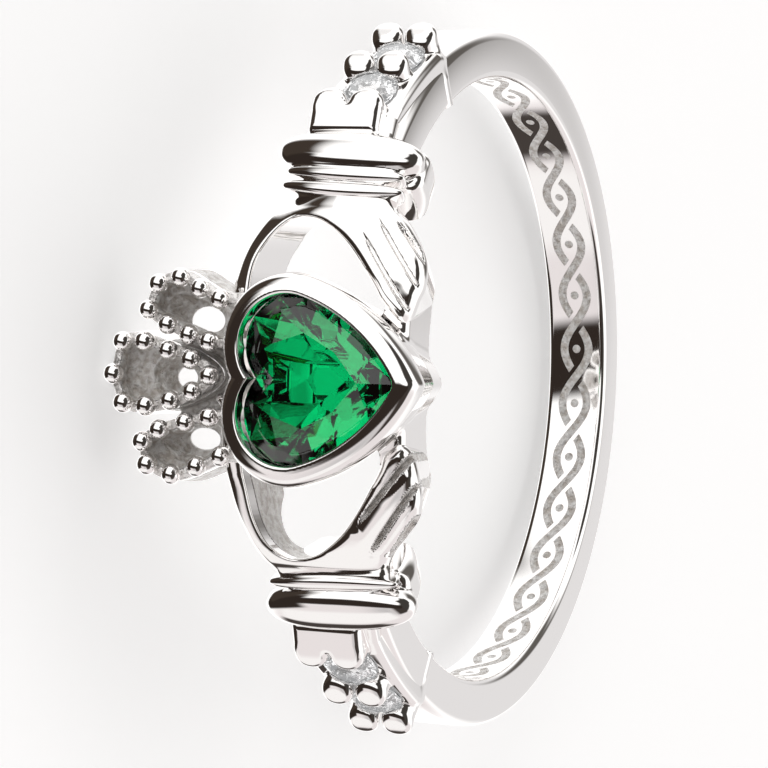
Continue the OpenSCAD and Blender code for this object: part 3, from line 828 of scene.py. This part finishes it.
def silver_group():
    """Polished silver, and speckled unpolished silver where the mask says"""
    t, given, out = group("Silver finish", "ShaderNodeTree", {
        "Vector": "Vector", "Rough Cast": 0.0, "Polished Colour": "Color", "Cast Colour": "Color", "Polish": 0.05},
        {"Colour": "Color", "Metal": "Float", "Roughness": "Float", "Height": "Float"})
    add, sub, mul, m = sums(t)
    v, mask = given["Vector"], given["Rough Cast"]
    fine, broad, grit = noise(t, v, 14000.0, 3.0), noise(t, v, 700.0, 2.0), noise(t, v, 5200.0, 4.0)
    smudge = m("MAXIMUM", mul(sub(broad, 0.35), 0.05), 0.0)
    polish = add(add(given["Polish"], smudge), mul(fine, 0.02))
    speck = mul(sub(grit, 0.36), 4.5)
    speck = m("MINIMUM", m("MAXIMUM", speck, 0.0), 1.0)
    unpolished = mix_colour(t, speck, SPECK_COLOUR, given["Cast Colour"])
    fill(t, out, {
        "Colour": mix_colour(t, mask, given["Polished Colour"], unpolished),
        "Metal": sub(1.0, mul(mask, CAST_DULLNESS)),
        "Roughness": add(mul(mask, CAST_ROUGHNESS), polish),
        "Height": add(mul(grit, mask), mul(broad, 0.003))})
    return t


def twist_group():
    """Mask of a two-strand twist engraved round the inside of the band"""
    t, given, out = group("Engraved twist", "ShaderNodeTree", {
        "Vector": "Vector", "Radius": BORE_R * MM, "Wave": 0.0034, "Swing": 0.0004, "Line": 0.00013},
        {"Mask": "Float"})
    add, sub, mul, m = sums(t)
    wave_length, line = given["Wave"], given["Line"]
    x, a, n = (dot_node(t, given["Vector"], axis) for axis in (ACROSS, ALONG, OUT))
    run = mul(m("ARCTAN2", x, mul(n, -1.0)), given["Radius"])
    phase = mul(m("DIVIDE", run, wave_length), 2 * math.pi)

    def strand(shift):
        """Distance from a strand's middle, less where it runs slanted so that its width stays even"""
        angle = add(phase, shift)
        level = mul(m("SINE", angle), given["Swing"])
        slope = m("COSINE", angle)
        wide = add(1.0, mul(mul(slope, slope), 0.22))
        return m("DIVIDE", m("ABSOLUTE", sub(a, level)), wide)

    def shown(strand_off, other_off, on_top):
        """A strand's line, broken beside the other where it passes under"""
        clear = m("GREATER_THAN", other_off, mul(line, 2.0))
        return mul(m("LESS_THAN", strand_off, line), m("MAXIMUM", clear, on_top))

    one, two = strand(0.0), strand(math.pi)
    # The second strand passes over at every other crossing
    over = m("GREATER_THAN", m("SINE", add(phase, math.pi / 2)), 0.0)
    strands = m("MAXIMUM", shown(one, two, sub(1.0, over)), shown(two, one, over))
    # A dot in the middle of every loop
    quarter = mul(wave_length, 0.25)
    local = m("PINGPONG", sub(run, quarter), quarter)
    dot = m("LESS_THAN", m("SQRT", add(mul(local, local), mul(a, a))), line)
    radius = m("SQRT", add(mul(x, x), mul(n, n)))
    inside = m("LESS_THAN", radius, BORE_R * MM + TWIST_NEAR)
    back = m("LESS_THAN", n, TWIST_END)
    fill(t, out, {"Mask": mul(mul(m("MAXIMUM", strands, dot), inside), back)})
    return t


def plain_material(name):
    """A material, its tree, its shader and its object coordinates"""
    m = bpy.data.materials.new(name)
    m.use_nodes = True
    t = m.node_tree
    return m, t, t.nodes["Principled BSDF"], node(t, "ShaderNodeTexCoord").outputs["Object"]


def silver_material(name, engraved=False):
    """Polished silver, unpolished where the engraving or the mesh's mask says"""
    m, t, bsdf, coord = plain_material(name)
    look = looks()
    if engraved:
        mask = node(t, "ShaderNodeGroup", {"Vector": coord}, node_tree=twist_group()).outputs["Mask"]
    else:
        mask = node(t, "ShaderNodeAttribute", attribute_name="rough_cast").outputs["Fac"]
    shared = bpy.data.node_groups.get("Silver finish") or silver_group()
    finish = node(t, "ShaderNodeGroup", {
        "Vector": coord, "Rough Cast": mask, "Polished Colour": tuple(look.silver) + (1,),
        "Cast Colour": tuple(look.cast) + (1,), "Polish": look.polish}, node_tree=shared).outputs
    bump = node(t, "ShaderNodeBump", {"Strength": 1.0, "Distance": 0.0003, "Height": finish["Height"]})
    fill(t, bsdf, {"Base Color": finish["Colour"], "Roughness": finish["Roughness"], "Metallic": finish["Metal"],
                   "Normal": bump.outputs[0]})
    return m


def stone_material(name, tone, ior, cloud, painted_glow):
    """A clear stone. cloud: the share of its colour where it is deepest. The last argument sets how strongly it glows
    in its own colour, a painted glow that brightens it.
    """
    m, t, bsdf, coord = plain_material(name)
    clear, deep = tuple(tone) + (1,), tuple(c * cloud for c in tone) + (1,)
    # The emission makes the stone glow in its own colour: painted light, since no lamp is there
    fill(t, bsdf, {"Base Color": mix_colour(t, noise(t, coord, 900.0), clear, deep), "Metallic": 0.0,
                   "Roughness": 0.0, "IOR": ior, "Transmission Weight": 1.0, "Emission Color": clear,
                   "Emission Strength": painted_glow})
    return m


# -------- sizes and looks a user would change
def length(name, description, value, low, high):
    return bpy.props.FloatProperty(name=name, description=description, default=value, min=low, max=high,
                                   subtype="DISTANCE", unit="LENGTH")


def colour(name, description, value):
    return bpy.props.FloatVectorProperty(name=name, description=description, default=value, size=3, min=0, max=1,
                                         subtype="COLOR")


class RingSizes(bpy.types.PropertyGroup):
    band_width: length("Band Width", "Width of the band along the finger", 0.00188, 0.0017, 0.0021)
    band_thickness: length("Band Thickness", "Thickness of the band", 0.00135, 0.0012, 0.0015)
    outer_rounding: length("Outer Rounding", "Rounding of the band's outer edges", 0.0003, 0.0001, 0.0004)
    inner_rounding: length("Inner Rounding", "Rounding of the band's inner edges", 0.0002, 0.0001, 0.0003)
    bead_radius: length("Bead Radius", "Radius of the crown's beads", 0.00029, 0.0002, 0.0003)
    fineness: length("Fineness", "Size of the faces on the cast surfaces", 0.00005, 0.00004, 0.0002)


class RingLooks(bpy.types.PropertyGroup):
    silver: colour("Silver", "Colour of the polished silver", (0.95, 0.935, 0.925))
    cast: colour("Cast Silver", "Colour of the unpolished silver in recesses", (0.97, 0.955, 0.935))
    polish: bpy.props.FloatProperty(name="Polish", description="Roughness of the polished silver", default=0.04, min=0,
                                    max=0.5, subtype="FACTOR")
    green: colour("Heart Stone", "Colour of the heart stone", (0.0, 0.54, 0.15))
    clear: colour("Round Stones", "Colour of the round stones", (0.96, 0.97, 0.98))
    floor: colour("Floor", "Colour of the floor", (0.93, 0.93, 0.93))


def sizes():
    return bpy.context.scene.claddagh_sizes


def looks():
    return bpy.context.scene.claddagh_looks


def silver():
    return bpy.data.materials.get("Polished silver") or silver_material("Polished silver")


def cast(name, field, low, high, rough=None, round_finger=True):
    """Makes a cast piece of the ring body from its field in a box. rough: the mask of its unpolished places."""
    step = sizes().fineness / MM * 1.0
    made = skin(field, low, high, step, bent, unbent) if round_finger else skin(field, low, high, step)
    claim(add_skin(name, made, rough and rough(made[0])), ("ring_body",), silver())


def cast_pair(names, make_field, arcs, low, high):
    """Makes a piece on each side of the heart. arcs: from and to; low and high: along and radius."""
    for side, name in zip((-1, 1), names):
        made = make_field(side)
        field, rough = made if isinstance(made, tuple) else (made, None)
        box = sorted(side * arc for arc in arcs)
        cast(name, field, (box[0],) + low, (box[1],) + high, rough)


# -------- operators
class RingOperator:
    bl_options = {"REGISTER", "UNDO"}


class CLADDAGH_OT_stage(RingOperator, bpy.types.Operator):
    """Makes the floor, the studio light and the camera"""
    bl_idname = "claddagh.stage"
    bl_label = "Stage"

    CAMERA_MM = Vector((-2.07, -78.42, 59.53))
    CAMERA_FORWARD = Vector((0.0237, 0.7807, -0.6238))
    CAMERA_UP = Vector((-0.9991, -0.0028, -0.0416))
    CAMERA_LENS = 159.6
    FLOOR_HALF = 0.6
    FLOOR_GLOW = 0.36
    STUDIO = (1.26, 1.25, 1.24, 1)
    # Soft cards that the silver reflects, each over the ones before it: turn from the front, height, lean, half
    # width, half height and softness in degrees, then colour
    CARDS = (
        (75.0, 5.0, 0.0, 62.0, 60.0, 14.0, (0.84, 0.79, 0.79)),
        (48.0, 14.0, 0.0, 22.0, 12.0, 12.0, (0.58, 0.56, 0.56)),
        (180.0, 6.0, 0.0, 30.0, 26.0, 10.0, (0.79, 0.775, 0.775)),
        (-145.0, 20.0, 0.0, 30.0, 14.0, 8.0, (0.12, 0.11, 0.1)),
        (68.0, -14.0, 0.0, 18.0, 30.0, 6.0, (0.98, 0.96, 0.95)),
        (107.0, -28.0, 0.0, 14.0, 17.0, 4.0, (0.06, 0.05, 0.045)),
        (-10.0, 68.0, 0.0, 50.0, 22.0, 5.0, (0.05, 0.045, 0.04)),
        (-58.0, 54.0, 0.0, 26.0, 17.0, 4.0, (0.05, 0.045, 0.04)),
        (42.0, 41.0, 0.0, 28.0, 15.0, 5.0, (0.05, 0.04, 0.035)),
        (10.0, 4.0, 12.0, 14.0, 48.0, 3.0, (0.03, 0.022, 0.018)),
        (6.0, -58.0, 0.0, 30.0, 32.0, 4.0, (0.03, 0.022, 0.018)),
        (-52.0, -52.0, 0.0, 26.0, 28.0, 6.0, (0.05, 0.038, 0.03)),
    )

    @staticmethod
    def card(t, way, turn, height, lean, half_wide, half_high, soft):
        """Mask of a flat card that stands far off in one direction"""
        angles = (math.radians(v) for v in (turn, height, lean))
        (sin_t, cos_t), (sin_h, cos_h), (sin_l, cos_l) = ((math.sin(v), math.cos(v)) for v in angles)
        right = Vector((cos_t, sin_t, 0.0))
        up = Vector((-sin_t * sin_h, cos_t * sin_h, cos_h))
        wide, high = right * cos_l - up * sin_l, up * cos_l + right * sin_l
        front = dot_node(t, way, (sin_t * cos_h, -cos_t * cos_h, sin_h))
        mask = math_node(t, "GREATER_THAN", front, 0.02)
        for axis, half in ((wide, half_wide), (high, half_high)):
            angle = math_node(t, "ABSOLUTE", math_node(t, "ARCTAN2", dot_node(t, way, axis), front))
            edge = node(t, "ShaderNodeMapRange", {
                "Value": angle, "From Min": math.radians(half - soft), "From Max": math.radians(half + soft),
                "To Min": 1.0, "To Max": 0.0}, interpolation_type="SMOOTHSTEP")
            mask = math_node(t, "MULTIPLY", mask, edge.outputs[0])
        return mask

    def make_floor(self, scene):
        x, z = self.FLOOR_HALF, CAD_BOX[0][2]
        mesh = bpy.data.meshes.new("floor")
        mesh.from_pydata([(-x, -x, z), (x, -x, z), (x, x, z), (-x, x, z)], [], [(0, 1, 2, 3)])
        floor = bpy.data.objects.new("floor", mesh)
        scene.collection.objects.link(floor)
        m, t, bsdf, coord = plain_material("Pale floor")
        tone = tuple(looks().floor)
        light = tuple(min(1, 1.03 * v) for v in tone)
        fill(t, bsdf, {"Base Color": mix_colour(t, noise(t, coord, 40.0), tone + (1,), light + (1,)),
                       "Roughness": 0.9, "Emission Color": (1, 1, 1, 1), "Emission Strength": self.FLOOR_GLOW})
        mesh.materials.append(m)
        floor.visible_glossy = False

    def make_studio(self, scene):
        scene.world = bpy.data.worlds.new("Studio")
        scene.world.use_nodes = True
        t = scene.world.node_tree
        way = node(t, "ShaderNodeTexCoord").outputs["Generated"]
        tone = self.STUDIO
        for *place, card_colour in self.CARDS:
            tone = mix_colour(t, self.card(t, way, *place), tone, card_colour + (1,))
        fill(t, t.nodes["Background"], {"Color": tone, "Strength": 1.0})
        scene.view_settings.view_transform = "Standard"

    def make_camera(self, scene):
        camera = bpy.data.objects.new("camera", bpy.data.cameras.new("camera"))
        scene.collection.objects.link(camera)
        camera.data.lens = self.CAMERA_LENS
        camera.data.sensor_width = 36.0
        camera.data.clip_start = 0.005
        forward = self.CAMERA_FORWARD.normalized()
        right = forward.cross(self.CAMERA_UP).normalized()
        turned = Matrix((right, right.cross(forward), -forward)).transposed().to_4x4()
        camera.matrix_world = Matrix.Translation(self.CAMERA_MM * MM) @ turned
        scene.camera = camera

    def execute(self, context):
        self.make_floor(context.scene)
        self.make_studio(context.scene)
        self.make_camera(context.scene)
        return {"FINISHED"}


class CLADDAGH_OT_band(RingOperator, bpy.types.Operator):
    """Makes the band round the back of the finger, with a twist engraved inside"""
    bl_idname = "claddagh.band"
    bl_label = "Band"
    # Half of the angle that the band leaves open for the head, in degrees
    OPEN_HALF = 35.0

    def execute(self, context):
        s = sizes()
        t = band_tree()
        gap = math.radians(self.OPEN_HALF)
        tilt = math.atan2(ALONG[1], ALONG[2])
        metal = silver_material("Engraved silver", engraved=True)
        obj = grow("band", bpy.data.meshes.new("band_seed"), t, {
            "Start": -math.pi / 2 + gap, "Sweep": 2 * math.pi - 2 * gap,
            "Radius": BORE_R * MM + s.band_thickness / 2, "Width": s.band_width, "Thickness": s.band_thickness,
            "Outer Rounding": s.outer_rounding, "Inner Rounding": s.inner_rounding,
            "Tilt": (-tilt, 0.0, 0.0), "Steps": 300, "Material": metal})
        obj.data.set_sharp_from_angle(angle=math.radians(50))
        claim(obj, ("ring_body",))
        return {"FINISHED"}


class CLADDAGH_OT_bezel(RingOperator, bpy.types.Operator):
    """Makes the heart-shaped bezel"""
    bl_idname = "claddagh.bezel"
    bl_label = "Bezel"

    def execute(self, context):
        cast("heart_bezel", bezel_field(), (-3.0, -2.4, 7.9), (3.0, 3.8, 12.1), round_finger=False)
        return {"FINISHED"}


class CLADDAGH_OT_hands(RingOperator, bpy.types.Operator):
    """Makes the two hands with grooved fingers"""
    bl_idname = "claddagh.hands"
    bl_label = "Hands"

    def execute(self, context):
        cast_pair(("hand_a", "hand_b"), hand_field, (0.5, 6.9), (-2.9, BORE_R - 0.1), (3.4, TOP_R + 0.12))
        return {"FINISHED"}


class CLADDAGH_OT_cuffs(RingOperator, bpy.types.Operator):
    """Makes the cuffs and the ridges beside them"""
    bl_idname = "claddagh.cuffs"
    bl_label = "Cuffs"

    def execute(self, context):
        cast_pair(("cuff_a", "cuff_b"), cuff_field, (4.85, 7.35), (-2.3, BORE_R - 0.1), (2.6, TOP_R + 0.36))
        return {"FINISHED"}


class CLADDAGH_OT_crown(RingOperator, bpy.types.Operator):
    """Makes the crown's pierced lobes and the beads along their rims"""
    bl_idname = "claddagh.crown"
    bl_label = "Crown"

    def execute(self, context):
        field, rough = crown_field()
        cast("crown_lobes", field, (-3.0, -6.1, 8.7), (3.0, -1.3, 10.95), rough, round_finger=False)
        seeds = bpy.data.meshes.new("bead_places")
        places = np.array([(-left, a, BEAD_N) for beads, _, _ in LOBES for left, a in beads])
        seeds.from_pydata(laid(places), [], [])
        beads = grow("crown_beads", seeds, bead_tree(), {
            "Bead Radius": sizes().bead_radius, "Rings": 12, "Segments": 24, "Variation": 0.09, "Seed": 4,
            "Material": silver()})
        claim(beads, ("ring_body",))
        return {"FINISHED"}


class CLADDAGH_OT_shoulders(RingOperator, bpy.types.Operator):
    """Makes the shoulders with their rounded prongs"""
    bl_idname = "claddagh.shoulders"
    bl_label = "Shoulders"

    def execute(self, context):
        cast_pair(("shoulder_a", "shoulder_b"), shoulder_field, (6.2, 12.35), (-2.2, BORE_R - 0.1),
                  (1.6, PRONG_TOP + 0.1))
        return {"FINISHED"}


class CLADDAGH_OT_heart_stone(RingOperator, bpy.types.Operator):
    """Cuts the heart stone"""
    bl_idname = "claddagh.heart_stone"
    bl_label = "Heart Stone"

    def execute(self, context):
        points, faces = heart_cut(heart_points(16), HEART_C + np.array((0.0, 0.3)))
        green = stone_material("Green stone", looks().green, ior=1.76, cloud=0.85, painted_glow=0.0)
        claim(add_stone("heart_stone_cut", points, faces), ("heart_stone",), green)
        return {"FINISHED"}


class CLADDAGH_OT_round_stones(RingOperator, bpy.types.Operator):
    """Cuts the four round stones of the shoulders"""
    bl_idname = "claddagh.round_stones"
    bl_label = "Round Stones"

    def execute(self, context):
        # The round stones glow faintly in their own colour: a painted glow that brightens them where they sit over the
        # silver
        clear = stone_material("Clear stone", looks().clear, ior=2.0, cloud=0.97, painted_glow=0.06)
        mains = 8
        ring = round_points(np.zeros(2), ROUND_R, np.arange(2 * mains) * math.pi / mains)
        levels = ((0.57, 0.26), (0.79, 0.15), 0.02, -0.02, (0.4, -0.46), -0.7)
        cut, faces = brilliant(ring, np.zeros(2), mains, levels)
        for side, names in ((-1, "ab"), (1, "cd")):
            for (arc, along), letter in zip(STONE_ARCS, names):
                t = side * arc / TOP_R
                x, a, n = cut[:, 0], cut[:, 1] + along, cut[:, 2] + ROUND_N
                p = np.stack((x * math.cos(t) + n * math.sin(t), a, n * math.cos(t) - x * math.sin(t)), 1)
                obj = add_stone("round_cut_" + letter, p, faces)
                claim(obj, ("round_stone_" + letter,), clear)
        return {"FINISHED"}


class CLADDAGH_PT_panel(bpy.types.Panel):
    """Lists the ring's pieces"""
    bl_idname = "CLADDAGH_PT_panel"
    bl_label = "Claddagh Ring"
    bl_space_type = "VIEW_3D"
    bl_region_type = "UI"
    bl_category = "Ring"

    def draw(self, context):
        layout = self.layout
        for holder in (context.scene.claddagh_sizes, context.scene.claddagh_looks):
            for key in holder.__annotations__:
                layout.prop(holder, key)
        for op in OPERATORS:
            layout.operator(op.bl_idname)


OPERATORS = (CLADDAGH_OT_stage, CLADDAGH_OT_band, CLADDAGH_OT_bezel, CLADDAGH_OT_hands, CLADDAGH_OT_cuffs,
             CLADDAGH_OT_crown, CLADDAGH_OT_shoulders, CLADDAGH_OT_heart_stone, CLADDAGH_OT_round_stones)
CLASSES = (RingSizes, RingLooks) + OPERATORS + (CLADDAGH_PT_panel,)


def register():
    for c in CLASSES:
        bpy.utils.register_class(c)
    bpy.types.Scene.claddagh_sizes = bpy.props.PointerProperty(type=RingSizes)
    bpy.types.Scene.claddagh_looks = bpy.props.PointerProperty(type=RingLooks)


def unregister():
    del bpy.types.Scene.claddagh_looks
    del bpy.types.Scene.claddagh_sizes
    for c in reversed(CLASSES):
        bpy.utils.unregister_class(c)


def main():
    register()
    bpy.ops.claddagh.stage()
    bpy.ops.claddagh.band()
    bpy.ops.claddagh.bezel()
    bpy.ops.claddagh.hands()
    bpy.ops.claddagh.cuffs()
    bpy.ops.claddagh.crown()
    bpy.ops.claddagh.shoulders()
    bpy.ops.claddagh.heart_stone()
    bpy.ops.claddagh.round_stones()


if __name__ == "__main__":
    main()
